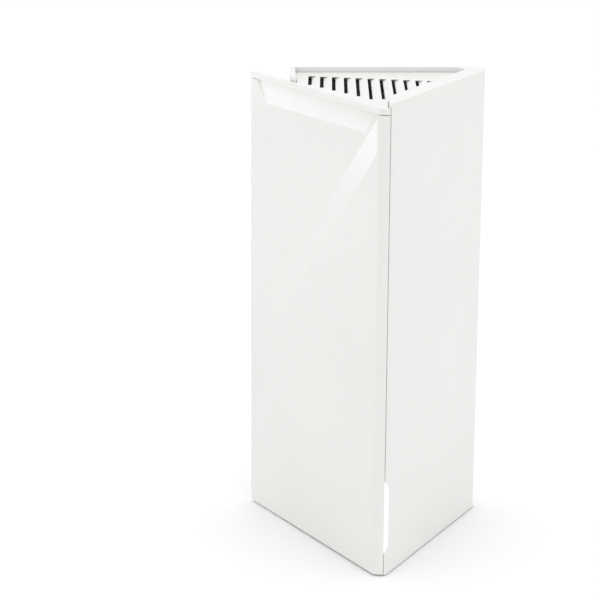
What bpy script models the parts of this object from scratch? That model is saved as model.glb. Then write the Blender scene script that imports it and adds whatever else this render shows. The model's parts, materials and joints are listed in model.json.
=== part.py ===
"""Tower mesh router: a three-sided desktop wireless router with a faceted left cover that runs on
as a fin, a plain right cover that wraps round the back, a louvred top and its sockets at the back.

Metres, +Z up. The origin is the centre of the bounding box's bottom. Front corner A points to -Y,
back corners are B (right) and C (left), and the back wall B-C faces +Y. Shapes are written in the
plan's own axes, with x = 0 on the middle of the back wall and y = 0 on its outer face; the empty
"plan" carries them to the origin.
"""

import math

import bmesh
import bpy
from mathutils import Matrix, Vector

# Driving dimensions of the body
HEIGHT = 0.209
SIDE = 0.111  # side of the three-cornered plan, measured to its sharp corners
FRONT_RADIUS = 0.0042
RIGHT_RADIUS = 0.008
NOTCH_RADIUS = 0.003
NOTCH_WIDTH = 0.0174  # from the fin's tip to the body's side wall, along the back
WALL = 0.0024
BACKING = 0.0024  # extra thickness behind the facets
GAP = 0.0003
SEAM_ANGLE = math.radians(22)  # the front seam, turned round corner A from straight ahead
COVER_BOTTOM = 0.0006
PLATE_DROP = 0.0022  # top plate below the right cover's rim
PLATE_THICKNESS = 0.0026
RIM_FLANGE = 0.0088  # width of the flat rim along the right face
RIM_DEPTH = 0.005
RIM_OVERLAP = 0.0012
RIM_STEP = 0.0001
RECESS_RADIUS = 0.005
LEDGE = 0.0015
LEDGE_HEIGHT = 0.002

# Facets of the left face, as distance from corner A and height
FACET_FRONT = 0.0078
FACET_END = 0.1100
BAND_LOW_FRONT = 0.1870
BAND_LOW_END = 0.0720
BAND_HIGH_END = 0.0876
FIELD_DEPTH = 0.0020  # depth of the upper field at its front edge; it runs out to nothing at the fin
TOP_FACET_FRONT_DEPTH = 0.0020  # how far it leans in, at its front end and at its fin end
TOP_FACET_END_DEPTH = 0.0008
TOP_FACET_BOTTOM = 0.1943
TOP_FACET_FRONT = 0.0189
TOP_FACET_END = 0.0976
FACET_SLOPE = 1.14  # height gained for each unit along the face, on the facets' slanted ends
FACET_OVER = 0.0005
FACET_LIFT = 0.0001  # where a facet runs out, its plane leaves the face by this much
CUT_OUT = 0.003
BACKING_LOW = 0.060
BACKING_START = 0.009
BACKING_END = 0.073

# Louvres of the top plate
SLOT_COUNT = 11
SLOT_PITCH = 0.005185
SLOT_FIRST = -0.02985
SLAT_TOP = 0.0015
SLAT_LEAN = 0.0021
SLAT_DROP = 0.0009
SLOT_FAR = -0.0132
SLOT_FAR_SLOPE = -0.24
SLOT_TURN = math.tan(math.radians(2.3))
SLOT_UNDERCUT = 0.005
SLOT_NEAR = -0.0700  # no slot reaches further forward than this
SLOT_MARGIN_LEFT = 0.0037
SLOT_MARGIN_GROWTH = 0.00084
SLOT_MARGIN_RIGHT = 0.0018

# Light lens beside the front seam
LENS_END = math.radians(57)
LENS_LOW = 0.0106
LENS_HIGH = 0.0439
LENS_TAPER = 0.0036
LENS_WINDOW_REACH = 0.3
LENS_DEPTH = 0.0022
GUIDE_FROM = math.radians(25)
GUIDE_TO = math.radians(34)
GUIDE_DEPTH = 0.0016
GUIDE_HALF = 0.0013
GUIDE_LOW = 0.022
GUIDE_HIGH = 0.032

# Base
BASE_BOTTOM = 0.0011
BASE_THICKNESS = 0.0024
BASE_SLOTS = 6
BASE_SLOT_WIDTH = 0.0026
BASE_SLOT_LENGTH = 0.024
BASE_SLOT_PITCH = 0.0062
BASE_SLOT_X = -0.0145
BASE_SLOT_Y = -0.038
FOOT_RADIUS = 0.005
FOOT_HEIGHT = 0.0008
FOOT_PLACES = ((0.001, -0.074), (-0.0275, -0.0095), (0.0385, -0.0105))
BASE_SCREW_PLACES = ((0.0, -0.0635), (-0.024, -0.020), (0.027, -0.020))
LABEL_SIZE = (0.030, 0.016, 0.0002)
LABEL_PLACE = (0.004, -0.0135)
LABEL_BOTTOM = 0.0006

# Boards and sockets
BOARD_X = -0.008
BOARD_THICKNESS = 0.0016
BOARD_FRONT = -0.066
BOARD_BACK = -0.0062
BOARD_LOW = 0.012
BOARD_HIGH = 0.190
PART_X = BOARD_X + BOARD_THICKNESS / 2 + GAP  # where the parts stand on the board
JACK_HEIGHT = 0.0134
JACK_WIDTH = 0.016
JACK_DEPTH = 0.0213
JACK_FACE = -0.0008
JACK_SHELL = 0.0005
JACK_PLACES = {"wan_jack": 0.078, "lan_jack_1": 0.059, "lan_jack_2": 0.040}
SOCKET_WIDTH = 0.0118
SOCKET_HEIGHT = 0.0082
SOCKET_DEPTH = 0.014
SOCKET_RISE = 0.0022
LATCH_WIDTH = 0.006
LATCH_HEIGHT = 0.0014
DC_Z = 0.0215
DC_SIZE = (0.0095, 0.0145, 0.0095)
DC_BORE = 0.0032
DC_BORE_DEPTH = 0.0105
DC_PIN_RADIUS = 0.001
BEZEL_X = -0.0002
BEZEL_WIDTH = 0.0200
BEZEL_LOW = 0.013
BEZEL_HIGH = 0.112
BEZEL_FACE = -0.0003
BEZEL_STEP = -0.0027
BEZEL_BACK = -0.0042
BEZEL_LIP = 0.0015

# Push buttons
BUTTON_X = PART_X + 0.003
BUTTON_TRAVEL = 0.0006
SWITCH_TRAVEL_SPARE = 0.0007
PAIR_Z = 0.095
PAIR_RADIUS = 0.0029
RESET_Z = 0.105
RESET_RADIUS = 0.0012
RESET_HOLE = 0.0011
STEM_RADIUS = 0.001
STEM_END = -0.0087
SWITCH_FRONT = -0.0105
SWITCH_BACK = -0.0140
SWITCH_SIDE = 0.006
PLUNGER_RADIUS = 0.001
PLUNGER_BORE = 0.0013
PLUNGER_LENGTH = 0.003
PLUNGER_BORE_DEPTH = 0.0015 + BUTTON_TRAVEL + SWITCH_TRAVEL_SPARE

# Inner frame and screws
FRAME_X = -0.013
FRAME_THICKNESS = 0.002
FRAME_FRONT = -0.052
FRAME_BACK = -0.010
FRAME_LOW = 0.0042
FRAME_HIGH = 0.196
FRAME_FOOT = 0.002
FRAME_INSET = 0.0085
FRAME_WINDOW_INSET = 0.0256
STANDOFF_RADIUS = 0.003
SCREW_HOLE = 0.0016
SCREW_RADIUS = 0.00125
SCREW_HEAD = 0.0027
SCREW_HEAD_HEIGHT = 0.0016
SCREW_SLOT = 0.0007
BOARD_SCREW_PLACES = ((-0.048, 0.107), (-0.014, 0.118), (-0.048, 0.186), (-0.014, 0.186))
BASE_SCREW_LENGTH = 0.0075
HEAD_SHARE = 0.7  # how much of a base screw's head height is sunk in its countersink
CROSS_REACH = 0.6  # half length of the cross in a screw's head, in head radii
BOSS_RADIUS = 0.0034
BOSS_HEIGHT = 0.007

# Parts on the board: y range, z range and height above the board
CHIPS = {
    "main_chip": ((-0.042, -0.024), (0.134, 0.152), 0.0014),
    "memory_chip": ((-0.041, -0.033), (0.168, 0.181), 0.0011),
    "flash_chip": ((-0.029, -0.021), (0.170, 0.176), 0.0015),
    "switch_chip": ((-0.058, -0.044), (0.088, 0.102), 0.0012),
}
LAMP = ((BOARD_FRONT + 0.0005, BOARD_FRONT + 0.004), (0.025, 0.029), 0.002)
LAMP_INSET = 0.004
MAGNETICS = ((-0.0315, -0.0245), 0.0065, 0.005)  # y range, half length along z, height
CAPACITOR_RADIUS = 0.004
CAPACITOR_HEIGHT = 0.0095
CAPACITOR_PLACE = (-0.022, 0.0185)
CAPACITOR_PITCH = 0.0105
INDUCTOR_SIDE = 0.0075
INDUCTOR_HEIGHT = 0.004
INDUCTOR_PLACE = (-0.0565, 0.0145)
INDUCTOR_PITCH = 0.009
SHIELD_BACK = -0.060
SHIELD_SIDE = 0.024
SHIELD_HEIGHT = 0.003
SHIELD_PLACES = (0.029, 0.058)
PAD_MARGIN = 0.001
PAD_THICKNESS = 0.0005
SINK_BACK = -0.015
SINK_WIDTH = 0.036
SINK_LOW = 0.124
SINK_HIGH = 0.164
SINK_FINS = 8
SINK_FIN = 0.0013
SINK_PLATE = 0.0025
SINK_REACH = 0.014

# Aerials
ANTENNA_LOW = 0.150
ANTENNA_HIGH = 0.195
ANTENNA_WIDE = 0.012
ANTENNA_THICK = 0.0008
ANTENNA_FEED = 0.006  # height of the lead's solder point above the aerial's lower edge
RIGHT_INSET = 0.004
LEFT_INSET = 0.0052
LEAD_RADIUS = 0.0006
LEAD_POINTS = 34
LEAD_SAG = 0.045
LEAD_REACH_RIGHT = 0.016
LEAD_REACH_LEFT = -0.003
LEAD_RISE = 0.004

ARC_STEPS = 8
ROUND_SIDES = 24

DEPTH = SIDE * math.sin(math.pi / 3)
ALONG_LEFT = Vector((-0.5, math.sin(math.pi / 3)))
ALONG_RIGHT = Vector((0.5, math.sin(math.pi / 3)))
INTO_LEFT = Vector((math.sin(math.pi / 3), 0.5))
INTO_RIGHT = Vector((-math.sin(math.pi / 3), 0.5))
CORNER_A = Vector((0.0, -DEPTH))
CORNER_TURN = math.pi / 3  # each side face is turned this far from straight ahead
FRONT_CENTRE = Vector((0.0, 2 * FRONT_RADIUS - DEPTH))
FRONT_TANGENT = FRONT_RADIUS / math.tan(math.pi / 6)
SEAM_GAP = GAP / FRONT_RADIUS
SEAM_X = FRONT_RADIUS * math.sin(SEAM_ANGLE)
SIDE_WALL_X = -SIDE / 2 + NOTCH_WIDTH
PLATE_TOP = HEIGHT - PLATE_DROP
PLATE_BOTTOM = PLATE_TOP - PLATE_THICKNESS
LEFT_TOP = PLATE_BOTTOM - GAP
# The widest point at the right is B's rounding; at the left it is the fin's tip.
RIGHT_EXTENT = SIDE / 2 - RIGHT_RADIUS / math.tan(math.pi / 6) + RIGHT_RADIUS
PLAN_X = (SIDE / 2 - RIGHT_EXTENT) / 2
PLAN_Y = (DEPTH - FRONT_RADIUS) / 2

# Colours, linear
WHITE = (0.80, 0.81, 0.79)
PORT_GREY = (0.55, 0.56, 0.56)
LENS_WHITE = (0.88, 0.88, 0.88)
BOARD_GREEN = (0.02, 0.16, 0.07)
STEEL = (0.60, 0.60, 0.61)
ALUMINIUM = (0.70, 0.71, 0.72)
BLACK = (0.02, 0.02, 0.02)
RUBBER_GREY = (0.30, 0.30, 0.30)
BRASS = (0.75, 0.55, 0.20)
LABEL_WHITE = (0.75, 0.75, 0.74)


def clear_scene():
    for obj in list(bpy.data.objects):
        bpy.data.objects.remove(obj, do_unlink=True)


def material(name, colour, roughness, metallic=0.0):
    made = bpy.data.materials.get(name)
    if made:
        return made
    made = bpy.data.materials.new(name)
    made.use_nodes = True
    shader = made.node_tree.nodes["Principled BSDF"]
    shader.inputs["Base Color"].default_value = (*colour, 1.0)
    shader.inputs["Roughness"].default_value = roughness
    shader.inputs["Metallic"].default_value = metallic
    return made


def white_plastic():
    return material("white_plastic", WHITE, 0.5)


def grey_plastic():
    return material("grey_plastic", PORT_GREY, 0.5)


def lens_plastic():
    return material("lens_plastic", LENS_WHITE, 0.3)


def board_laminate():
    return material("board_laminate", BOARD_GREEN, 0.5)


def black_plastic():
    return material("black_plastic", BLACK, 0.5)


def steel():
    return material("steel", STEEL, 0.35, 1.0)


def aluminium():
    return material("aluminium", ALUMINIUM, 0.4, 1.0)


def contact_brass():
    return material("contact_brass", BRASS, 0.3, 1.0)


def rubber():
    return material("rubber", RUBBER_GREY, 0.8)


def pad_rubber():
    return material("pad_rubber", PORT_GREY, 0.8)


def label_film():
    return material("label_film", LABEL_WHITE, 0.6)


def add(name, mesh, surface=None, place=(0.0, 0.0, 0.0)):
    """A mesh as an object carried by the plan's empty. Without a surface it is a tool for a Boolean."""
    obj = bpy.data.objects.new(name, mesh)
    bpy.context.scene.collection.objects.link(obj)
    obj.parent = bpy.data.objects["plan"]
    obj.location = place
    if surface:
        mesh.materials.append(surface)
    else:
        obj.hide_render = True
        obj.display_type = "WIRE"
    return obj


def mesh_of(name, shape):
    bmesh.ops.recalc_face_normals(shape, faces=shape.faces)
    mesh = bpy.data.meshes.new(name)
    shape.to_mesh(mesh)
    shape.free()
    return mesh


def on_left(along, depth):
    """Plan point a distance from corner A along the left face, and inside it."""
    return CORNER_A + ALONG_LEFT * along + INTO_LEFT * depth


def on_right(along, depth):
    return CORNER_A + ALONG_RIGHT * along + INTO_RIGHT * depth


def on_front(angle, depth):
    """Plan point on the rounded front corner, turned from straight ahead towards the right."""
    ahead = Vector((math.sin(angle), -math.cos(angle)))
    return FRONT_CENTRE + ahead * (FRONT_RADIUS - depth)


def front_arc(start, end, depth):
    return [on_front(start + (end - start) * k / ARC_STEPS, depth) for k in range(ARC_STEPS + 1)]


def left_at_x(x, depth):
    """Plan point of the line inside the left face that has this x."""
    along = (INTO_LEFT.x * depth - x) / -ALONG_LEFT.x
    return on_left(along, depth)


def right_at_x(x, depth):
    return on_right((x - INTO_RIGHT.x * depth) / ALONG_RIGHT.x, depth)


def right_at_y(y, depth):
    along = (y + DEPTH - INTO_RIGHT.y * depth) / ALONG_RIGHT.y
    return on_right(along, depth)


def rounded(corners):
    """Outline through (point, radius) pairs, with an arc of ARC_STEPS steps at each rounded corner."""
    outline = []
    for index, (corner, radius) in enumerate(corners):
        if not radius:
            outline.append(corner.copy())
            continue
        back = (corners[index - 1][0] - corner).normalized()
        ahead = (corners[(index + 1) % len(corners)][0] - corner).normalized()
        half = back.angle(ahead) / 2
        centre = corner + (back + ahead).normalized() * (radius / math.sin(half))
        start = corner + back * (radius / math.tan(half)) - centre
        end = corner + ahead * (radius / math.tan(half)) - centre
        for step in range(ARC_STEPS + 1):
            outline.append(centre + start.slerp(end, step / ARC_STEPS).normalized() * radius)
    return outline


def prism(name, outline, low, high, surface=None):
    """Plan outline raised from one height to another."""
    shape = bmesh.new()
    floor = shape.faces.new([shape.verts.new((point.x, point.y, low)) for point in outline])
    raised = bmesh.ops.extrude_face_region(shape, geom=[floor])["geom"]
    moved = [item for item in raised if isinstance(item, bmesh.types.BMVert)]
    bmesh.ops.translate(shape, verts=moved, vec=(0, 0, high - low))
    return add(name, mesh_of(name, shape), surface)


def face_prism(name, point_at, outline, outer, inner, surface=None):
    """Outline of (along, height) on a face, from one depth inside it to another."""
    shape = bmesh.new()
    rings = []
    for depth in (outer, inner):
        places = [point_at(along, depth) for along, _ in outline]
        rings.append([shape.verts.new((p.x, p.y, z)) for p, (_, z) in zip(places, outline)])
    shape.faces.new(rings[0])
    shape.faces.new(rings[1])
    for index in range(len(outline)):
        following = (index + 1) % len(outline)
        shape.faces.new(
            (rings[0][index], rings[0][following], rings[1][following], rings[1][index])
        )
    return add(name, mesh_of(name, shape), surface)


def face_box(name, point_at, along, heights, depths, surface=None):
    outline = [
        (along[0], heights[0]),
        (along[1], heights[0]),
        (along[1], heights[1]),
        (along[0], heights[1]),
    ]
    return face_prism(name, point_at, outline, depths[0], depths[1], surface)


def box(name, low, high, surface=None):
    """A box between two corners, with its origin at its middle."""
    low, high = Vector(low), Vector(high)
    shape = bmesh.new()
    bmesh.ops.create_cube(shape, size=1.0, matrix=Matrix.Diagonal((*(high - low), 1.0)))
    return add(name, mesh_of(name, shape), surface, (low + high) / 2)


AXIS_TURN = {
    "x": Matrix.Rotation(math.pi / 2, 4, "Y"),
    "y": Matrix.Rotation(-math.pi / 2, 4, "X"),
    "z": Matrix.Identity(4),
}


def turned(name, axis, sections, surface=None, place=(0, 0, 0), sides=ROUND_SIDES):
    """A solid of round steps along an axis: (start, end, radius) sections that follow each other."""
    shape = bmesh.new()
    rings = []
    for start, end, radius in sections:
        for height in (start, end):
            ring = []
            for side in range(sides):
                angle = 2 * math.pi * side / sides
                point = Vector((radius * math.cos(angle), radius * math.sin(angle), height))
                ring.append(shape.verts.new(AXIS_TURN[axis] @ point))
            rings.append(ring)
    shape.faces.new(rings[0])
    shape.faces.new(rings[-1])
    for low, high in zip(rings, rings[1:]):
        for side in range(sides):
            following = (side + 1) % sides
            shape.faces.new((low[side], low[following], high[following], high[side]))
    obj = add(name, mesh_of(name, shape), surface, place)
    obj.data.shade_smooth()
    obj.data.set_sharp_from_angle(angle=math.radians(40))
    return obj


def combine(target, tool, operation):
    step = target.modifiers.new(tool.name, "BOOLEAN")
    step.operation = operation
    step.solver = "EXACT"
    step.object = tool


def cut(target, tool):
    combine(target, tool, "DIFFERENCE")


def join(target, tool):
    combine(target, tool, "UNION")


# Casing ----------------------------------------------------------------------------------------


def left_cover():
    """The faceted left wall: it turns round corner A to the seam, and ends as the fin's tip."""
    outline = front_arc(SEAM_ANGLE, -CORNER_TURN, 0)
    outline += [Vector((-SIDE / 2, 0)), Vector((left_tip_x(), 0))]
    outline += front_arc(-CORNER_TURN, SEAM_ANGLE, WALL)
    cover = prism("left_cover", outline, COVER_BOTTOM, LEFT_TOP, white_plastic())
    backing = face_box(
        "left_backing",
        on_left,
        (BACKING_START, BACKING_END),
        (BACKING_LOW, LEFT_TOP - GAP),
        (WALL - RIM_OVERLAP, WALL + BACKING),
    )
    join(cover, backing)
    cut(cover, field_cutter())
    cut(cover, top_facet_cutter())


def left_tip_x():
    """Where the fin's inner face meets the plane of the back wall."""
    return -SIDE / 2 + WALL / INTO_LEFT.x


def field_depth(along):
    share = (FACET_END - along) / (FACET_END - FACET_FRONT)
    return FIELD_DEPTH * share - FACET_LIFT * (1 - share)


def cutter_over_left(name, corners, faces):
    """A closed cutter: corners (along, height, depth) carry the given faces, and the rest is outside."""
    shape = bmesh.new()
    inner, outer = [], []
    for along, height, depth in corners:
        for ring, inside in ((inner, depth), (outer, -CUT_OUT)):
            place = on_left(along, inside)
            ring.append(shape.verts.new((place.x, place.y, height)))
    for face in faces:
        shape.faces.new([inner[index] for index in face])
    shape.faces.new(outer)
    for index in range(len(corners)):
        following = (index + 1) % len(corners)
        shape.faces.new((inner[index], inner[following], outer[following], outer[index]))
    bmesh.ops.triangulate(shape, faces=shape.faces)
    return add(name, mesh_of(name, shape))


def field_cutter():
    """The upper field, and the slanted band that leads down to it."""
    top = LEFT_TOP + FACET_OVER
    corners = [
        (FACET_FRONT, BAND_LOW_FRONT, -FACET_LIFT),
        (FACET_END, BAND_LOW_END, -FACET_LIFT),
        (FACET_END, BAND_HIGH_END, -FACET_LIFT),
        (FACET_END, top, -FACET_LIFT),
        (FACET_FRONT, top, FIELD_DEPTH),
    ]
    return cutter_over_left("field_cutter", corners, [(0, 1, 2, 4), (2, 3, 4)])


def top_facet_cutter():
    top = LEFT_TOP + FACET_OVER
    run = (top - TOP_FACET_BOTTOM) / FACET_SLOPE
    front, end = TOP_FACET_FRONT - run, TOP_FACET_END + run
    corners = [
        (TOP_FACET_FRONT, TOP_FACET_BOTTOM, field_depth(TOP_FACET_FRONT)),
        (TOP_FACET_END, TOP_FACET_BOTTOM, field_depth(TOP_FACET_END)),
        (end, top, field_depth(end) + TOP_FACET_END_DEPTH),
        (front, top, field_depth(front) + TOP_FACET_FRONT_DEPTH),
    ]
    return cutter_over_left("top_facet_cutter", corners, [(0, 1, 2, 3)])


def right_cover():
    """The plain right wall, the back wall and the short side wall that meets the fin, as one shell."""
    seam = SEAM_ANGLE + SEAM_GAP
    meeting = WALL + GAP
    outer_end = left_at_x(SIDE_WALL_X, meeting)
    inner_end = left_at_x(SIDE_WALL_X + WALL, meeting)
    walls = rounded([
        (on_right(FRONT_TANGENT, 0), 0),
        (Vector((SIDE / 2, 0)), RIGHT_RADIUS),
        (Vector((SIDE_WALL_X, 0)), NOTCH_RADIUS),
        (outer_end, 0),
        (inner_end, 0),
        (Vector((SIDE_WALL_X + WALL, -WALL)), NOTCH_RADIUS - WALL),
        (right_at_y(-WALL, WALL), RIGHT_RADIUS - WALL),
        (on_right(FRONT_TANGENT, WALL), 0),
    ])
    outline = front_arc(seam, CORNER_TURN, 0) + walls[1:-1] + front_arc(CORNER_TURN, seam, WALL)
    cover = prism("right_cover", outline, COVER_BOTTOM, HEIGHT, white_plastic())
    join(cover, rim_flange())
    join(cover, plate_ledge())
    cut(cover, bezel_window())
    cut(cover, lens_window())


def rim_flange():
    """The flat rim along the right face, beside the sunken top plate."""
    back = -WALL - RIM_STEP
    fillet_end = right_at_y(back, RIM_FLANGE).x - RECESS_RADIUS / math.tan(math.pi / 6) - GAP
    walls = rounded([
        (on_right(FRONT_TANGENT, RIM_OVERLAP), 0),
        (right_at_y(-RIM_OVERLAP, RIM_OVERLAP), RIGHT_RADIUS - RIM_OVERLAP),
        (Vector((fillet_end, -RIM_OVERLAP)), 0),
        (Vector((fillet_end, back)), 0),
        (right_at_y(back, RIM_FLANGE), RECESS_RADIUS),
        (right_at_x(SEAM_X + 2 * GAP, RIM_FLANGE), 0),
    ])
    outline = front_arc(SEAM_ANGLE + 2 * SEAM_GAP, CORNER_TURN, RIM_OVERLAP) + walls[1:]
    return prism("rim_flange", outline, HEIGHT - RIM_DEPTH, HEIGHT)


def plate_ledge():
    """The ledge inside the back wall that the top plate rests on."""
    left = SIDE_WALL_X + WALL + RIM_OVERLAP
    right = right_at_y(-WALL, RIM_FLANGE).x
    top = PLATE_BOTTOM - GAP
    return box(
        "plate_ledge",
        (left, -WALL - LEDGE, top - LEDGE_HEIGHT),
        (right, -WALL + RIM_OVERLAP, top),
    )


def bezel_window():
    half = BEZEL_WIDTH / 2 + GAP
    return box(
        "bezel_window",
        (BEZEL_X - half, -WALL * 2, BEZEL_LOW - GAP),
        (BEZEL_X + half, WALL, BEZEL_HIGH + GAP),
    )


def lens_outline(clearance, reach):
    """The lens's outline round the front corner, its long side a reach before the seam's gap."""
    seam = SEAM_ANGLE + SEAM_GAP
    slope = LENS_TAPER / (LENS_END - seam)
    start, end = seam - reach, LENS_END + clearance / FRONT_RADIUS
    turns = [start + (end - start) * step / ARC_STEPS for step in range(ARC_STEPS + 1)]
    low = [(turn, LENS_LOW - clearance + slope * (turn - seam)) for turn in turns]
    high = [(turn, LENS_HIGH + clearance - slope * (turn - seam)) for turn in turns]
    return low + high[::-1]


def lens_window():
    outline = lens_outline(2 * GAP, LENS_WINDOW_REACH)
    return face_prism("lens_window", on_front, outline, -CUT_OUT, FRONT_RADIUS - GAP)


def top_vent_plate():
    """The sunken top: its edge shows above the left cover and along the fin."""
    inner = WALL
    side_x = SIDE_WALL_X + WALL + GAP
    back_y = -WALL - RIM_STEP - GAP
    rim = RIM_FLANGE + GAP
    outline = front_arc(SEAM_ANGLE, -CORNER_TURN, 0) + rounded([
        (Vector((-SIDE / 2, 0)), 0),
        (Vector((left_tip_x(), 0)), 0),
        (left_at_x(side_x, inner), 0),
        (Vector((side_x, back_y)), NOTCH_RADIUS),
        (right_at_y(back_y, rim), RECESS_RADIUS),
        (right_at_x(SEAM_X, rim), 0),
        (on_front(SEAM_ANGLE, WALL + GAP), 0),
    ])
    plate = prism("top_vent_plate", outline, PLATE_BOTTOM, PLATE_TOP, white_plastic())
    for index in range(SLOT_COUNT):
        cut(plate, slot_cutter(index))


def slot_end(wall_point, along_wall, far):
    """Where a slot that starts at the wall point's x, at the height far, meets the wall."""
    turn = SLOT_TURN * along_wall.y / along_wall.x
    return (wall_point.y - turn * far) / (1 - turn)


def slot_cutter(index):
    """One slot between two slats, running front to back and undercut at its far end.

    Each slat slopes down on its left before it drops away.
    """
    left = SLOT_FIRST + index * SLOT_PITCH
    right = left + SLOT_PITCH - SLAT_TOP
    far = SLOT_FAR + SLOT_FAR_SLOPE * (left - SLOT_FIRST)
    left_wall = left_at_x(left, SLOT_MARGIN_LEFT + index * SLOT_MARGIN_GROWTH)
    right_wall = right_at_x((left + right) / 2, RIM_FLANGE + SLOT_MARGIN_RIGHT)
    near = max(slot_end(left_wall, ALONG_LEFT, far), slot_end(right_wall, ALONG_RIGHT, far))
    near = max(near, SLOT_NEAR)
    over = PLATE_THICKNESS / 2
    shape = bmesh.new()
    rings = []
    for depth, narrowed in ((-over, 0), (0, 0), (SLAT_DROP, SLAT_LEAN), (3 * over, SLAT_LEAN)):
        back = far + SLOT_UNDERCUT * max(depth, 0) / PLATE_THICKNESS
        ring = []
        for x, y in ((left, near), (right - narrowed, near), (right - narrowed, back), (left, back)):
            ring.append(shape.verts.new((x + SLOT_TURN * (y - far), y, PLATE_TOP - depth)))
        rings.append(ring)
    shape.faces.new(rings[0])
    shape.faces.new(rings[-1])
    for upper, lower in zip(rings, rings[1:]):
        for corner in range(4):
            following = (corner + 1) % 4
            shape.faces.new((upper[corner], upper[following], lower[following], lower[corner]))
    name = f"slot_cutter_{index + 1}"
    return add(name, mesh_of(name, shape))


def inset_triangle(left_depth, side_x, other_depth):
    """The body's plan set in from its left cover, side wall, and back and right walls."""
    front = left_right_corner(left_depth, other_depth)
    return [
        front,
        right_at_y(-other_depth, other_depth),
        Vector((side_x, -other_depth)),
        left_at_x(side_x, left_depth),
    ]


def left_right_corner(left_depth, right_depth):
    """Where the line inside the left face crosses the line inside the right face."""
    x = (left_depth - right_depth) / (2 * INTO_LEFT.x)
    y = -DEPTH + left_depth + right_depth
    return Vector((x, y))


def base_plate():
    corners = inset_triangle(WALL + GAP, SIDE_WALL_X + WALL + GAP, WALL + GAP)
    radii = (FRONT_RADIUS - WALL - GAP, RIGHT_RADIUS - WALL, 0, 0)
    outline = rounded(list(zip(corners, radii)))
    plate = prism("base_plate", outline, BASE_BOTTOM, BASE_BOTTOM + BASE_THICKNESS, white_plastic())
    sunk = BASE_BOTTOM + BASE_THICKNESS * HEAD_SHARE
    for index, (x, y) in enumerate(BASE_SCREW_PLACES):
        hole = turned(
            f"base_hole_{index + 1}",
            "z",
            [
                (BASE_BOTTOM - FOOT_HEIGHT, sunk, SCREW_HEAD + GAP),
                (sunk, BASE_BOTTOM + 2 * BASE_THICKNESS, SCREW_HOLE),
            ],
            place=(x, y, 0),
        )
        cut(plate, hole)
    for index in range(BASE_SLOTS):
        x = BASE_SLOT_X + index * BASE_SLOT_PITCH
        tool = box(
            f"base_slot_{index + 1}",
            (x - BASE_SLOT_WIDTH / 2, BASE_SLOT_Y - BASE_SLOT_LENGTH / 2, 0),
            (x + BASE_SLOT_WIDTH / 2, BASE_SLOT_Y + BASE_SLOT_LENGTH / 2, 2 * BASE_THICKNESS),
        )
        cut(plate, tool)


def feet():
    for index, (x, y) in enumerate(FOOT_PLACES):
        turned(f"foot_{index + 1}", "z", [(0, FOOT_HEIGHT, FOOT_RADIUS)], rubber(), (x, y, 0))


def rating_label():
    x, y = LABEL_PLACE
    wide, deep, thick = LABEL_SIZE
    box(
        "rating_label",
        (x - wide / 2, y - deep / 2, LABEL_BOTTOM),
        (x + wide / 2, y + deep / 2, LABEL_BOTTOM + thick),
        label_film(),
    )


def light_pipe():
    """The lens in the right cover, and the guide that brings it the lamp's light."""
    lens = face_prism("light_pipe", on_front, lens_outline(0, 0), 0.0, LENS_DEPTH, lens_plastic())
    lamp = Vector((PART_X + LAMP[2] * 0.75, BOARD_FRONT - LAMP_INSET))
    outline = [
        on_front(GUIDE_FROM, GUIDE_DEPTH),
        on_front(GUIDE_TO, GUIDE_DEPTH),
        lamp + Vector((GUIDE_HALF, 0)),
        lamp - Vector((GUIDE_HALF, 0)),
    ]
    join(lens, prism("light_guide", outline, GUIDE_LOW, GUIDE_HIGH))


# Sockets and buttons ---------------------------------------------------------------------------


def io_bezel():
    """The socket panel in the back wall, with a lip behind the wall."""
    half = BEZEL_WIDTH / 2
    panel = box(
        "io_bezel",
        (BEZEL_X - half, (BEZEL_STEP + BEZEL_BACK) / 2, BEZEL_LOW),
        (BEZEL_X + half, BEZEL_FACE, BEZEL_HIGH),
        grey_plastic(),
    )
    lip = box(
        "bezel_lip",
        (BEZEL_X - half - BEZEL_LIP, BEZEL_BACK, BEZEL_LOW - BEZEL_LIP),
        (BEZEL_X + half + BEZEL_LIP, BEZEL_STEP, BEZEL_HIGH + BEZEL_LIP),
    )
    join(panel, lip)
    for name, z in JACK_PLACES.items():
        cut(panel, panel_window(f"{name}_window", z, JACK_HEIGHT, JACK_WIDTH))
    cut(panel, panel_window("dc_window", DC_Z, DC_SIZE[0], DC_SIZE[2]))
    cut(panel, panel_hole("pair_hole", PAIR_Z, PAIR_RADIUS + GAP))
    cut(panel, panel_hole("reset_hole", RESET_Z, RESET_HOLE))


def panel_window(name, z, high, wide):
    return box(
        name,
        (PART_X - GAP, BEZEL_BACK * 2, z - wide / 2 - GAP),
        (PART_X + high + GAP, -BEZEL_BACK, z + wide / 2 + GAP),
    )


def panel_hole(name, z, radius):
    return turned(name, "y", [(BEZEL_BACK * 2, -BEZEL_BACK, radius)], place=(BUTTON_X, 0, z))


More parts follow.
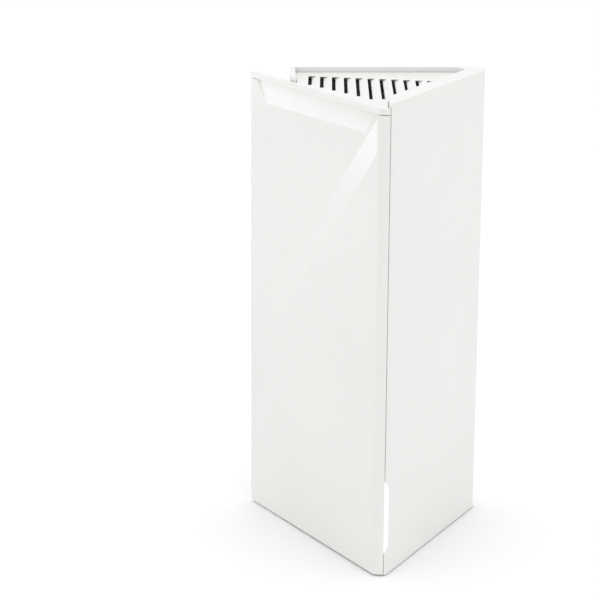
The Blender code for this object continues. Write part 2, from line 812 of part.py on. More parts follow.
def network_jack(name, z):
    """A steel shell round a plastic insert, with the socket's mouth facing back."""
    back = JACK_FACE - JACK_DEPTH
    half = JACK_WIDTH / 2
    shell = box(
        name, (PART_X, back, z - half), (PART_X + JACK_HEIGHT, JACK_FACE, z + half), steel()
    )
    hollow = box(
        f"{name}_hollow",
        (PART_X + JACK_SHELL, back + JACK_SHELL, z - half + JACK_SHELL),
        (PART_X + JACK_HEIGHT - JACK_SHELL, -JACK_FACE, z + half - JACK_SHELL),
    )
    cut(shell, hollow)
    inset = JACK_SHELL + GAP
    insert = box(
        f"{name}_insert",
        (PART_X + inset, back + inset, z - half + inset),
        (PART_X + JACK_HEIGHT - inset, JACK_FACE - GAP, z + half - inset),
        black_plastic(),
    )
    socket_x = PART_X + SOCKET_RISE
    socket = box(
        f"{name}_socket",
        (socket_x, JACK_FACE - SOCKET_DEPTH, z - SOCKET_WIDTH / 2),
        (socket_x + SOCKET_HEIGHT, -JACK_FACE, z + SOCKET_WIDTH / 2),
    )
    latch = box(
        f"{name}_latch",
        (socket_x + SOCKET_HEIGHT / 2, JACK_FACE - SOCKET_DEPTH / 2, z - LATCH_WIDTH / 2),
        (socket_x + SOCKET_HEIGHT + LATCH_HEIGHT, -JACK_FACE, z + LATCH_WIDTH / 2),
    )
    cut(insert, socket)
    cut(insert, latch)


def power_jack():
    high, deep, wide = DC_SIZE
    middle = PART_X + high / 2
    body = box(
        "dc_jack",
        (PART_X, JACK_FACE - deep, DC_Z - wide / 2),
        (PART_X + high, JACK_FACE, DC_Z + wide / 2),
        black_plastic(),
    )
    bore = turned(
        "dc_bore",
        "y",
        [(JACK_FACE - DC_BORE_DEPTH, -JACK_FACE, DC_BORE)],
        place=(middle, 0, DC_Z),
    )
    cut(body, bore)
    pin = [(JACK_FACE - DC_BORE_DEPTH + GAP, JACK_FACE - 2 * DC_PIN_RADIUS, DC_PIN_RADIUS)]
    turned("dc_pin", "y", pin, contact_brass(), (middle, 0, DC_Z), sides=16)


def button(name, z, radius, face):
    """A push button: cap, collar behind the panel and stem, with its origin on the slide's axis."""
    collar = BEZEL_BACK - GAP
    sections = [
        (STEM_END, collar - JACK_SHELL, STEM_RADIUS),
        (collar - JACK_SHELL, collar, radius + 2 * GAP + JACK_SHELL),
    ]
    if face > collar:
        sections.append((collar, face, radius))
    turned(name, "y", sections, grey_plastic(), (BUTTON_X, 0, z))


def push_switch(name, z):
    """A side-acting switch on the board, and the plunger that the button's stem pushes."""
    half = SWITCH_SIDE / 2
    body = box(
        f"{name}_switch",
        (BUTTON_X - half, SWITCH_BACK, z - half),
        (BUTTON_X + half, SWITCH_FRONT, z + half),
        black_plastic(),
    )
    bore = turned(
        f"{name}_bore",
        "y",
        [(SWITCH_FRONT - PLUNGER_BORE_DEPTH, SWITCH_FRONT + GAP, PLUNGER_BORE)],
        place=(BUTTON_X, 0, z),
    )
    cut(body, bore)
    end = STEM_END - GAP
    turned(
        f"{name}_plunger",
        "y",
        [(end - PLUNGER_LENGTH, end, PLUNGER_RADIUS)],
        steel(),
        (BUTTON_X, 0, z),
        sides=16,
    )


# Inside ----------------------------------------------------------------------------------------


def main_board():
    board = box(
        "main_board",
        (BOARD_X - BOARD_THICKNESS / 2, BOARD_FRONT, BOARD_LOW),
        (BOARD_X + BOARD_THICKNESS / 2, BOARD_BACK, BOARD_HIGH),
        board_laminate(),
    )
    for index, (y, z) in enumerate(BOARD_SCREW_PLACES):
        reach = 2 * BOARD_THICKNESS
        sections = [(-reach, reach, SCREW_HOLE)]
        hole = turned(f"board_hole_{index + 1}", "x", sections, place=(BOARD_X, y, z))
        cut(board, hole)


def inner_frame():
    """The plastic spine behind the board, with the foot that the base is screwed to."""
    spine = box(
        "inner_frame",
        (FRAME_X - FRAME_THICKNESS / 2, FRAME_FRONT, FRAME_LOW),
        (FRAME_X + FRAME_THICKNESS / 2, FRAME_BACK, FRAME_HIGH),
        grey_plastic(),
    )
    corners = inset_triangle(FRAME_INSET, SIDE_WALL_X + FRAME_INSET, FRAME_INSET)
    foot_low = FRAME_LOW - GAP / 2
    join(spine, prism("frame_foot", corners, foot_low, foot_low + FRAME_FOOT))
    for index, (x, y) in enumerate(BASE_SCREW_PLACES):
        sections = [(foot_low + GAP / 2, foot_low + BOSS_HEIGHT, BOSS_RADIUS)]
        join(spine, turned(f"base_boss_{index + 1}", "z", sections, place=(x, y, 0)))
    for index, (y, z) in enumerate(BOARD_SCREW_PLACES):
        reach = BOARD_X - BOARD_THICKNESS / 2 - GAP - FRAME_X
        sections = [(0, reach, STANDOFF_RADIUS)]
        join(spine, turned(f"standoff_{index + 1}", "x", sections, place=(FRAME_X, y, z)))
    frame_holes(spine, foot_low)


def frame_holes(spine, foot_low):
    window = inset_triangle(
        FRAME_WINDOW_INSET, SIDE_WALL_X + FRAME_WINDOW_INSET, FRAME_WINDOW_INSET
    )
    left_edge = FRAME_X + 2 * FRAME_THICKNESS
    beside_spine = window[:2] + [
        Vector((left_edge, window[2].y)),
        left_at_x(left_edge, FRAME_WINDOW_INSET),
    ]
    cut(spine, prism("frame_window", beside_spine, 0, foot_low + 2 * FRAME_FOOT))
    for index, (x, y) in enumerate(BASE_SCREW_PLACES):
        sections = [(0, foot_low + BOSS_HEIGHT - FRAME_FOOT / 2, SCREW_HOLE)]
        cut(spine, turned(f"boss_hole_{index + 1}", "z", sections, place=(x, y, 0)))
    for index, (y, z) in enumerate(BOARD_SCREW_PLACES):
        sections = [(-FRAME_THICKNESS / 4, 4 * FRAME_THICKNESS, SCREW_HOLE)]
        cut(spine, turned(f"frame_hole_{index + 1}", "x", sections, place=(FRAME_X, y, z)))


def screws():
    for index, (x, y) in enumerate(BASE_SCREW_PLACES):
        head = BASE_BOTTOM + GAP
        sections = [
            (head, head + SCREW_HEAD_HEIGHT * HEAD_SHARE, SCREW_HEAD),
            (head + SCREW_HEAD_HEIGHT * HEAD_SHARE, head + BASE_SCREW_LENGTH, SCREW_RADIUS),
        ]
        slotted(f"base_screw_{index + 1}", "z", sections, (x, y, 0), head)
    for index, (y, z) in enumerate(BOARD_SCREW_PLACES):
        sections = [
            (FRAME_X + GAP - BOARD_X, PART_X - BOARD_X, SCREW_RADIUS),
            (PART_X - BOARD_X, PART_X - BOARD_X + SCREW_HEAD_HEIGHT, SCREW_HEAD),
        ]
        head = PART_X - BOARD_X + SCREW_HEAD_HEIGHT
        slotted(f"board_screw_{index + 1}", "x", sections, (BOARD_X, y, z), head)


def slotted(name, axis, sections, place, head):
    """A screw with a cross cut in its head."""
    screw = turned(name, axis, sections, steel(), place, sides=16)
    for turn in range(2):
        half = [SCREW_HEAD * CROSS_REACH, SCREW_SLOT / 2]
        if turn:
            half.reverse()
        if axis == "z":
            middle = Vector(place) + Vector((0, 0, head))
            reach = Vector((half[0], half[1], SCREW_SLOT))
        else:
            middle = Vector(place) + Vector((head, 0, 0))
            reach = Vector((SCREW_SLOT, half[0], half[1]))
        cut(screw, box(f"{name}_slot_{turn + 1}", middle - reach, middle + reach))


def board_part(name, y, z, height, surface, radius=None):
    """A plain component on the board: a box over (y, z) ranges, or a can where it has a radius."""
    if radius:
        sections = [(PART_X, PART_X + height, radius)]
        return turned(name, "x", sections, surface, (0, y, z), sides=20)
    return box(name, (PART_X, y[0], z[0]), (PART_X + height, y[1], z[1]), surface)


def components():
    for name, (y, z, height) in CHIPS.items():
        board_part(name, y, z, height, black_plastic())
    board_part("status_lamp", *LAMP, lens_plastic())
    y, half, height = MAGNETICS
    for index, z in enumerate(JACK_PLACES.values()):
        board_part(f"magnetics_{index + 1}", y, (z - half, z + half), height, black_plastic())
    y, z = CAPACITOR_PLACE
    for index in range(3):
        name = f"capacitor_{index + 1}"
        board_part(name, y - CAPACITOR_PITCH * index, z, CAPACITOR_HEIGHT, aluminium(), CAPACITOR_RADIUS)
    y, z = INDUCTOR_PLACE
    for index in range(2):
        low = y - INDUCTOR_PITCH * index
        across, upward = (low, low + INDUCTOR_SIDE), (z, z + INDUCTOR_SIDE)
        board_part(f"inductor_{index + 1}", across, upward, INDUCTOR_HEIGHT, black_plastic())
    for index, low in enumerate(SHIELD_PLACES):
        shield_can(f"radio_shield_{index + 1}", low)


def shield_can(name, low):
    """A thin steel lid over a radio, open towards the board."""
    front, high = SHIELD_BACK + SHIELD_SIDE, low + SHIELD_SIDE
    can = board_part(name, (SHIELD_BACK, front), (low, high), SHIELD_HEIGHT, steel())
    hollow = box(
        f"{name}_hollow",
        (PART_X - GAP, SHIELD_BACK + JACK_SHELL, low + JACK_SHELL),
        (PART_X + SHIELD_HEIGHT - JACK_SHELL, front - JACK_SHELL, high - JACK_SHELL),
    )
    cut(can, hollow)


def cooling():
    """Thermal pad and finned heat sink on the main chip."""
    y, z, chip = CHIPS["main_chip"]
    pad = PART_X + chip + GAP
    box(
        "thermal_pad",
        (pad, y[0] + PAD_MARGIN, z[0] + PAD_MARGIN),
        (pad + PAD_THICKNESS, y[1] - PAD_MARGIN, z[1] - PAD_MARGIN),
        pad_rubber(),
    )
    sink = pad + PAD_THICKNESS + GAP
    front = SINK_BACK - SINK_WIDTH
    pitch = SINK_WIDTH / SINK_FINS
    root, tip = sink + SINK_PLATE, sink + SINK_REACH
    outline = [Vector((sink, front)), Vector((sink, SINK_BACK))]
    for index in range(SINK_FINS):
        back = SINK_BACK - index * pitch
        outline += [
            Vector((tip, back)),
            Vector((tip, back - SINK_FIN)),
            Vector((root, back - SINK_FIN)),
            Vector((root, back - pitch)),
        ]
    prism("heat_sink", outline, SINK_LOW, SINK_HIGH, aluminium())


def antennas():
    """Four small aerial boards inside the walls, each with its thin lead down to the main board."""
    # Face, distance along it, depth inside it, and the y and z of the lead's end on the board
    places = [
        (on_right, 0.034, RIGHT_INSET, -0.060, 0.134),
        (on_right, 0.062, RIGHT_INSET, -0.0125, 0.128),
        (on_left, 0.034, LEFT_INSET, -0.0625, 0.128),
        (on_left, 0.054, LEFT_INSET, -0.0625, 0.100),
    ]
    for index, (point_at, along, depth, board_y, board_z) in enumerate(places):
        number = index + 1
        face_box(
            f"antenna_{number}",
            point_at,
            (along, along + ANTENNA_WIDE),
            (ANTENNA_LOW, ANTENNA_HIGH),
            (depth, depth + ANTENNA_THICK),
            board_laminate(),
        )
        side = 1 if point_at is on_right else -1
        start = point_at(along + ANTENNA_WIDE / 2, depth + ANTENNA_THICK + GAP + LEAD_RADIUS)
        surface_x = BOARD_X + side * (BOARD_THICKNESS / 2 + GAP + LEAD_RADIUS)
        antenna_lead(
            f"antenna_lead_{number}",
            Vector((start.x, start.y, ANTENNA_LOW + ANTENNA_FEED)),
            Vector((surface_x + side * GAP, board_y, board_z)),
            side,
        )


def antenna_lead(name, start, end, side):
    """A lead that leaves the aerial downwards and comes up to the board's face."""
    reach = Vector((LEAD_REACH_RIGHT if side > 0 else LEAD_REACH_LEFT, 0, LEAD_RISE))
    curve = bpy.data.curves.new(name, "CURVE")
    curve.dimensions = "3D"
    curve.bevel_depth = LEAD_RADIUS
    curve.bevel_resolution = 2
    curve.use_fill_caps = True
    spline = curve.splines.new("POLY")
    spline.points.add(LEAD_POINTS - 1)
    fall = Vector((0, 0, LEAD_SAG))
    controls = [start, start - fall, end + reach - fall / 3, end]
    for index in range(LEAD_POINTS):
        t = index / (LEAD_POINTS - 1)
        weights = ((1 - t) ** 3, 3 * t * (1 - t) ** 2, 3 * t * t * (1 - t), t**3)
        place = sum((point * weight for point, weight in zip(controls, weights)), Vector())
        spline.points[index].co = (*place, 1.0)
    add(name, curve, black_plastic())


def build():
    clear_scene()
    plan = bpy.data.objects.new("plan", None)
    bpy.context.scene.collection.objects.link(plan)
    plan.location = (PLAN_X, PLAN_Y, 0)
    left_cover()
    right_cover()
    top_vent_plate()
    base_plate()
    feet()
    rating_label()
    light_pipe()
    io_bezel()
    for name, z in JACK_PLACES.items():
        network_jack(name, z)
    power_jack()
    button("pair_button", PAIR_Z, PAIR_RADIUS, 0.0)
    button("reset_button", RESET_Z, RESET_RADIUS, BEZEL_BACK - GAP)
    push_switch("pair", PAIR_Z)
    push_switch("reset", RESET_Z)
    main_board()
    inner_frame()
    screws()
    components()
    cooling()
    antennas()


build()
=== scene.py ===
"""Looks of the three-sided tower router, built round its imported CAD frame.

Metres, in the frame's own axes: +Z up, the rounded front corner towards -Y, the back wall facing +Y.
Shapes are worked out in the plan's axes, with x = 0 on the middle of the back wall and y = 0 on its
outer face, and world carries them to the frame.
"""

import json
import math

import bmesh
import bpy
from mathutils import Matrix, Vector

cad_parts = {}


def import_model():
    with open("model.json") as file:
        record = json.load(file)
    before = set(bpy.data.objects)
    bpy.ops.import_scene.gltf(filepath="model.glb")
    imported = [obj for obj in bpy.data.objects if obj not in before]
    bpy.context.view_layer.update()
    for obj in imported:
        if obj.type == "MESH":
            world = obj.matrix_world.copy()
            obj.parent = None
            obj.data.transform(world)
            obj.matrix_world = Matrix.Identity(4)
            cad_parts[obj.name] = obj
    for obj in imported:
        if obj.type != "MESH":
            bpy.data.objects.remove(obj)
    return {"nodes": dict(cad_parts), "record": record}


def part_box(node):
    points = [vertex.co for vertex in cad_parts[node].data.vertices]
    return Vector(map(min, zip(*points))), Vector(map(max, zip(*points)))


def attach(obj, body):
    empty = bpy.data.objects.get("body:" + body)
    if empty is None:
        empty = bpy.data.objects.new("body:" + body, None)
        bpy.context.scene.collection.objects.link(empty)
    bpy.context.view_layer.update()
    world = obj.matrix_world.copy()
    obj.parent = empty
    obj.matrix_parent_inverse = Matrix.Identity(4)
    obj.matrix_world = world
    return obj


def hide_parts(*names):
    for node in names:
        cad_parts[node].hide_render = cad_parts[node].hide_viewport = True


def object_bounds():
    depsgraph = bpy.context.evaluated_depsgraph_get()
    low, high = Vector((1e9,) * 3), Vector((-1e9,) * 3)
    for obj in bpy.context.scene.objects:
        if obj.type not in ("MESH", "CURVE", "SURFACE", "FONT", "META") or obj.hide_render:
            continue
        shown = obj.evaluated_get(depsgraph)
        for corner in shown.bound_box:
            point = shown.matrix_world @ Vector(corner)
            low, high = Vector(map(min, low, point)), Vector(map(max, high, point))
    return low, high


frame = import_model()
cad_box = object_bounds()

MM = 0.001
BODY = "housing"

# The frame's shape, as the CAD has it ---------------------------------------------------------

FRONT_RADIUS = 4.2 * MM
RIGHT_RADIUS = 8 * MM
NOTCH_RADIUS = 3 * MM
NOTCH_WIDTH = 17.4 * MM
WALL = 2.4 * MM
BACKING = 2.4 * MM
GAP = 0.3 * MM
SEAM_ANGLE = math.radians(22)
RIM_FLANGE = 8.8 * MM
RIM_DEPTH = 5 * MM
RECESS_RADIUS = 5 * MM

LOW, HIGH = (Vector(corner) for corner in cad_box)
LEFT_LOW, LEFT_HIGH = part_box("left_cover")
PLATE_LOW, PLATE_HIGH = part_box("top_vent_plate")
RIGHT_LOW, RIGHT_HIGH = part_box("right_cover")
BEZEL_LOW, BEZEL_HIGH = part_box("io_bezel")
LENS_LOW, LENS_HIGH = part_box("light_pipe")

SIDE = (HIGH.y - LOW.y + FRONT_RADIUS) / math.sin(math.pi / 3)
DEPTH = SIDE * math.sin(math.pi / 3)
PLAN = Vector((LOW.x + SIDE / 2, HIGH.y))
SIDE_WALL_X = -SIDE / 2 + NOTCH_WIDTH
ALONG_LEFT = Vector((-0.5, math.sin(math.pi / 3)))
ALONG_RIGHT = Vector((0.5, math.sin(math.pi / 3)))
INTO_LEFT = Vector((math.sin(math.pi / 3), 0.5))
INTO_RIGHT = Vector((-math.sin(math.pi / 3), 0.5))
CORNER_A = Vector((0.0, -DEPTH))
CORNER_TURN = math.pi / 3
FRONT_CENTRE = Vector((0.0, 2 * FRONT_RADIUS - DEPTH))
FRONT_TANGENT = FRONT_RADIUS / math.tan(math.pi / 6)
SEAM_GAP = GAP / FRONT_RADIUS
SEAM_X = FRONT_RADIUS * math.sin(SEAM_ANGLE)

# Facets of the left face, as distance from corner A and height
FACET_FRONT = 7.8 * MM
FACET_END = 110 * MM
BAND_LOW_FRONT = 187 * MM
BAND_LOW_END = 72 * MM
BAND_HIGH_END = 87.6 * MM
FIELD_DEPTH = 2.0 * MM
FIELD_TOP = LEFT_HIGH.z + 0.5 * MM
TOP_FACET_FRONT_DEPTH = 2.0 * MM
TOP_FACET_END_DEPTH = 0.8 * MM
TOP_FACET_BOTTOM = 194.3 * MM
TOP_FACET_FRONT = 18.9 * MM
TOP_FACET_END = 97.6 * MM
FACET_SLOPE = 1.14
FACET_END_SLOPE = 2 * MM
SMALLEST = 1e-9
BACKING_END = 73 * MM

# Louvres of the top plate
SLOT_COUNT = 11
SLOT_PITCH = 5.185 * MM
SLOT_FIRST = -29.85 * MM
SLAT_TOP = 1.5 * MM
SLAT_LEAN = 2.1 * MM
SLAT_DROP = 0.9 * MM
SLOT_FAR = -13.2 * MM
SLOT_FAR_SLOPE = -0.24
SLOT_TURN = math.tan(math.radians(2.3))
SLOT_UNDERCUT = 5 * MM
SLOT_NEAR = -70.0 * MM
SLOT_MARGIN_LEFT = 3.7 * MM
SLOT_MARGIN_GROWTH = 0.84 * MM
SLOT_MARGIN_RIGHT = 1.8 * MM

# The lens
LENS_END = math.radians(57)
LENS_TAPER = 3.6 * MM
LENS_WINDOW_REACH = 0.3
LENS_THICKNESS = 2.2 * MM

# The socket panel and what shows through it
PANEL_LIP = 1.5 * MM
PANEL_STEP = 2.7 * MM
RESET_HOLE = 1.1 * MM
SHELL = 0.5 * MM
SOCKETS = ("wan_jack", "lan_jack_1", "lan_jack_2")
SOCKET_HEIGHT = 8.2 * MM
SOCKET_WIDTH = 11.8 * MM
SOCKET_DEPTH = 14 * MM
SOCKET_RISE = 2.2 * MM
LATCH_WIDTH = 6 * MM
LATCH_HEIGHT = 1.4 * MM
CONTACTS = 8
CONTACT_PITCH = 1.02 * MM
CONTACT_WIDTH = 0.36 * MM
CONTACT_THICKNESS = 0.2 * MM
INLET_BORE = 3.2 * MM
INLET_DEPTH = 10.5 * MM
BUTTON_STEM = 1.0 * MM
BUTTON_BACK = 4.5 * MM
COLLAR_THICKNESS = 0.5 * MM
COLLAR_REACH = 1.1 * MM

# The base
BASE_SLOTS = 6
BASE_SLOT_WIDTH = 2.6 * MM
BASE_SLOT_LENGTH = 24 * MM
BASE_SLOT_PITCH = 6.2 * MM
BASE_SLOT_X = -14.5 * MM
BASE_SLOT_Y = -38 * MM
BASE_SCREWS = ("base_screw_1", "base_screw_2", "base_screw_3")
FEET = ("foot_1", "foot_2", "foot_3")
SCREW_HOLE = 1.6 * MM
SCREW_SHANK = 1.25 * MM
HEAD_SUNK = 0.7
HEAD_THICKNESS = 1.12 * MM
CROSS_WIDTH = 0.7 * MM
CROSS_REACH = 0.6

# Detail of the visual model
ARC_STEPS = 28
FINE_ARC_STEPS = 90
EDGE = 0.3 * MM  # rounding of moulded edges
FINE_EDGE = 0.15 * MM


# Plan helpers ---------------------------------------------------------------------------------


def on_left(along, depth):
    return CORNER_A + ALONG_LEFT * along + INTO_LEFT * depth


def on_right(along, depth):
    return CORNER_A + ALONG_RIGHT * along + INTO_RIGHT * depth


def on_front(angle, depth):
    """Plan point on the rounded front corner, turned from straight ahead towards the right."""
    ahead = Vector((math.sin(angle), -math.cos(angle)))
    return FRONT_CENTRE + ahead * (FRONT_RADIUS - depth)


def spread(start, end, steps):
    return [start + (end - start) * step / steps for step in range(steps + 1)]


def front_arc(start, end, depth, steps=ARC_STEPS):
    return [on_front(angle, depth) for angle in spread(start, end, steps)]


def left_at_x(x, depth):
    return on_left((INTO_LEFT.x * depth - x) / -ALONG_LEFT.x, depth)


def right_at_x(x, depth):
    return on_right((x - INTO_RIGHT.x * depth) / ALONG_RIGHT.x, depth)


def right_at_y(y, depth):
    return on_right((y + DEPTH - INTO_RIGHT.y * depth) / ALONG_RIGHT.y, depth)


def rounded(corners):
    """Outline through (point, radius) pairs, with an arc at each rounded corner."""
    outline = []
    for index, (corner, radius) in enumerate(corners):
        if not radius:
            outline.append(corner.copy())
            continue
        back = (corners[index - 1][0] - corner).normalized()
        ahead = (corners[(index + 1) % len(corners)][0] - corner).normalized()
        half = back.angle(ahead) / 2
        centre = corner + (back + ahead).normalized() * (radius / math.sin(half))
        start = corner + back * (radius / math.tan(half)) - centre
        end = corner + ahead * (radius / math.tan(half)) - centre
        for share in spread(0, 1, ARC_STEPS):
            outline.append(centre + start.slerp(end, share).normalized() * radius)
    return outline


def world(point, z):
    return Vector((point.x + PLAN.x, point.y + PLAN.y, z))


# Mesh helpers ---------------------------------------------------------------------------------


def new_object(name, shape, surface=None):
    bmesh.ops.recalc_face_normals(shape, faces=shape.faces)
    mesh = bpy.data.meshes.new(name)
    shape.to_mesh(mesh)
    shape.free()
    obj = bpy.data.objects.new(name, mesh)
    bpy.context.scene.collection.objects.link(obj)
    if surface:
        mesh.materials.append(surface)
    return obj


def prism(name, outline, low, high, surface=None):
    shape = bmesh.new()
    floor = shape.faces.new([shape.verts.new(world(point, low)) for point in outline])
    raised = bmesh.ops.extrude_face_region(shape, geom=[floor])["geom"]
    moved = [item for item in raised if isinstance(item, bmesh.types.BMVert)]
    bmesh.ops.translate(shape, verts=moved, vec=(0, 0, high - low))
    return new_object(name, shape, surface)


def box(name, low, high, surface=None, edge=0.0, segments=2):
    """A box between two corners in the frame's axes, with its edges rounded."""
    low, high = Vector(low), Vector(high)
    shape = bmesh.new()
    matrix = Matrix.Translation((low + high) / 2) @ Matrix.Diagonal((*(high - low), 1.0))
    bmesh.ops.create_cube(shape, size=1.0, matrix=matrix)
    if edge:
        edges = list(shape.edges)
        bmesh.ops.bevel(shape, geom=edges, offset=edge, segments=segments, affect="EDGES")
    return new_object(name, shape, surface)


def lofted(name, rings, surface=None, closed=False):
    """A solid through rings of points that match one to one, with its two ends filled."""
    shape = bmesh.new()
    made = [[shape.verts.new(point) for point in ring] for ring in rings]
    pairs = list(zip(made, made[1:]))
    if closed:
        pairs.append((made[-1], made[0]))
    else:
        shape.faces.new(made[0])
        shape.faces.new(made[-1])
    for low, high in pairs:
        for index in range(len(low)):
            following = (index + 1) % len(low)
            shape.faces.new((low[index], low[following], high[following], high[index]))
    return new_object(name, shape, surface)


def turned(name, axis, profile, place, surface=None, sides=48):
    """A solid of revolution about an axis through place: (height, radius) pairs, ends filled."""
    turn = {
        "x": Matrix.Rotation(math.pi / 2, 4, "Y"),
        "y": Matrix.Rotation(-math.pi / 2, 4, "X"),
        "z": Matrix.Identity(4),
    }[axis]
    rings = []
    for height, radius in profile:
        ring = []
        for side in range(sides):
            angle = 2 * math.pi * side / sides
            point = Vector((radius * math.cos(angle), radius * math.sin(angle), height))
            ring.append(Vector(place) + turn @ point)
        rings.append(ring)
    return lofted(name, rings, surface)


def apply_modifiers(obj):
    graph = bpy.context.evaluated_depsgraph_get()
    mesh = bpy.data.meshes.new_from_object(obj.evaluated_get(graph))
    old = obj.data
    obj.modifiers.clear()
    obj.data = mesh
    bpy.data.meshes.remove(old)


def combine(target, tools, operation):
    """Booleans with each tool in turn, applied, with the tools then removed."""
    for tool in tools:
        step = target.modifiers.new(tool.name, "BOOLEAN")
        step.operation = operation
        step.solver = "EXACT"
        step.object = tool
    apply_modifiers(target)
    for tool in tools:
        mesh = tool.data
        bpy.data.objects.remove(tool)
        bpy.data.meshes.remove(mesh)


def round_edges(obj, width, segments=2, angle=30):
    """Bevels the sharp edges, then shades the faces smooth between them."""
    shape = bmesh.new()
    shape.from_mesh(obj.data)
    bmesh.ops.remove_doubles(shape, verts=shape.verts, dist=0.002 * MM)
    bmesh.ops.dissolve_limit(
        shape, angle_limit=math.radians(0.02), verts=shape.verts, edges=shape.edges
    )
    shape.to_mesh(obj.data)
    shape.free()
    bevel = obj.modifiers.new("edges", "BEVEL")
    bevel.width = width
    bevel.segments = segments
    bevel.limit_method = "ANGLE"
    bevel.angle_limit = math.radians(angle)
    bevel.use_clamp_overlap = True
    bevel.miter_outer = "MITER_ARC"
    apply_modifiers(obj)
    shade(obj, angle)


def shade(obj, angle):
    obj.data.shade_smooth()
    obj.data.set_sharp_from_angle(angle=math.radians(angle))
    weighted = obj.modifiers.new("normals", "WEIGHTED_NORMAL")
    weighted.keep_sharp = True
    weighted.weight = 80
    apply_modifiers(obj)


# Materials ------------------------------------------------------------------------------------


class Surface:
    """A node material under construction: a Principled shader and the nodes that feed it."""

    def __init__(self, name, colour, roughness, metallic=0.0):
        self.material = bpy.data.materials.new(name)
        self.material.use_nodes = True
        self.nodes = self.material.node_tree.nodes
        self.links = self.material.node_tree.links
        self.shader = self.nodes["Principled BSDF"]
        self.shader.inputs["Base Color"].default_value = (*colour, 1.0)
        self.shader.inputs["Roughness"].default_value = roughness
        self.shader.inputs["Metallic"].default_value = metallic
        self.place = self.nodes.new("ShaderNodeTexCoord").outputs["Object"]
        self.height = None

    def noise(self, scale, detail=2.0, stretch=None):
        """Noise over the object's own axes; scale is in cycles per metre."""
        place = self.place
        if stretch:
            mapping = self.nodes.new("ShaderNodeMapping")
            mapping.inputs["Scale"].default_value = stretch
            self.links.new(place, mapping.inputs["Vector"])
            place = mapping.outputs["Vector"]
        node = self.nodes.new("ShaderNodeTexNoise")
        node.inputs["Scale"].default_value = scale
        node.inputs["Detail"].default_value = detail
        self.links.new(place, node.inputs["Vector"])
        return node.outputs["Fac"]

    def remap(self, value, low, high):
        node = self.nodes.new("ShaderNodeMapRange")
        node.inputs["From Min"].default_value = 0.3
        node.inputs["From Max"].default_value = 0.7
        node.inputs["To Min"].default_value = low
        node.inputs["To Max"].default_value = high
        self.links.new(value, node.inputs["Value"])
        return node.outputs["Result"]

    def vary_roughness(self, value, low, high):
        self.links.new(self.remap(value, low, high), self.shader.inputs["Roughness"])

    def vary_colour(self, value, first, second):
        mix = self.nodes.new("ShaderNodeMix")
        mix.data_type = "RGBA"
        mix.inputs["A"].default_value = (*first, 1.0)
        mix.inputs["B"].default_value = (*second, 1.0)
        self.links.new(self.remap(value, 0, 1), mix.inputs["Factor"])
        self.links.new(mix.outputs["Result"], self.shader.inputs["Base Color"])

    def bump(self, value, distance, strength=1.0):
        node = self.nodes.new("ShaderNodeBump")
        node.inputs["Distance"].default_value = distance
        node.inputs["Strength"].default_value = strength
        self.links.new(value, node.inputs["Height"])
        if self.height:
            self.links.new(self.height, node.inputs["Normal"])
        self.height = node.outputs["Normal"]
        self.links.new(self.height, self.shader.inputs["Normal"])

    def set(self, **values):
        for name, value in values.items():
            self.shader.inputs[name.replace("_", " ")].default_value = value
        return self.material


def tinted(colour, factor):
    return tuple(channel * factor for channel in colour)


def moulded_plastic(name, colour, roughness, grain=2600, relief=0.012 * MM, spread_by=0.05):
    """Moulded plastic: a fine spark-eroded grain, soft flow marks and a little uneven sheen."""
    surface = Surface(name, colour, roughness)
    surface.vary_colour(surface.noise(14, 3.0), tinted(colour, 0.985), tinted(colour, 1.012))
    surface.vary_roughness(surface.noise(60, 4.0), roughness - spread_by, roughness + spread_by)
    surface.bump(surface.noise(9, 2.0), 0.05 * MM, 0.3)
    surface.bump(surface.noise(grain, 3.0), relief)
    return surface


def white_plastic():
    surface = moulded_plastic("white_plastic", WHITE, 0.22, relief=0.003 * MM, spread_by=0.03)
    return surface.set(Specular_IOR_Level=0.85)


WHITE = (0.775, 0.787, 0.768)
PORT_GREY = (0.50, 0.51, 0.51)


def grey_plastic():
    return moulded_plastic("grey_plastic", PORT_GREY, 0.48).material


def black_plastic():
    return moulded_plastic("black_plastic", (0.018, 0.018, 0.019), 0.42, grain=3200).material


def lens_plastic():
    surface = moulded_plastic("lens_plastic", (0.93, 0.94, 0.93), 0.25, relief=0.004 * MM)
    # Painted glow: the faint white emission brightens the lens and the light guide as if light came
    # through them; it is not lit by a lamp.
    surface.shader.inputs["Emission Color"].default_value = (1.0, 1.0, 0.99, 1.0)
    return surface.set(Emission_Strength=0.35, Coat_Weight=0.2)


def brushed_metal(name, colour, roughness, stretch):
    surface = Surface(name, colour, roughness, 1.0)
    surface.vary_colour(surface.noise(300, 3.0), tinted(colour, 0.9), colour)
    surface.vary_roughness(surface.noise(420, 4.0, stretch), roughness - 0.07, roughness + 0.1)
    surface.bump(surface.noise(900, 2.0, stretch), 0.006 * MM)
    return surface.material


def steel():
    return brushed_metal("steel", (0.58, 0.58, 0.59), 0.32, (1, 1, 0.08))


def aluminium():
    return brushed_metal("aluminium", (0.72, 0.73, 0.74), 0.36, (1, 1, 0.05))


def contact_brass():
    return brushed_metal("contact_brass", (0.80, 0.58, 0.24), 0.25, (1, 0.1, 1))


def rubber():
    surface = moulded_plastic("rubber", (0.26, 0.26, 0.26), 0.75, grain=1500, relief=0.03 * MM)
    return surface.set(Specular_IOR_Level=0.3)


def pad_rubber():
    surface = moulded_plastic("pad_rubber", (0.42, 0.45, 0.50), 0.8, grain=900, relief=0.02 * MM)
    return surface.material


def label_film():
    surface = moulded_plastic("label_film", (0.72, 0.72, 0.71), 0.5, grain=700, relief=0.003 * MM)
    return surface.material


def board_laminate():
    """Solder-masked laminate: copper runs show faintly under the green mask."""
    green = (0.012, 0.11, 0.045)
    surface = Surface("board_laminate", green, 0.35)
    runs = surface.noise(260, 0.0, (1, 1, 0.2))
    surface.vary_colour(runs, green, (0.02, 0.17, 0.07))
    surface.vary_roughness(surface.noise(120, 2.0), 0.28, 0.42)
    surface.bump(runs, 0.02 * MM)
    return surface.set(Coat_Weight=0.3)


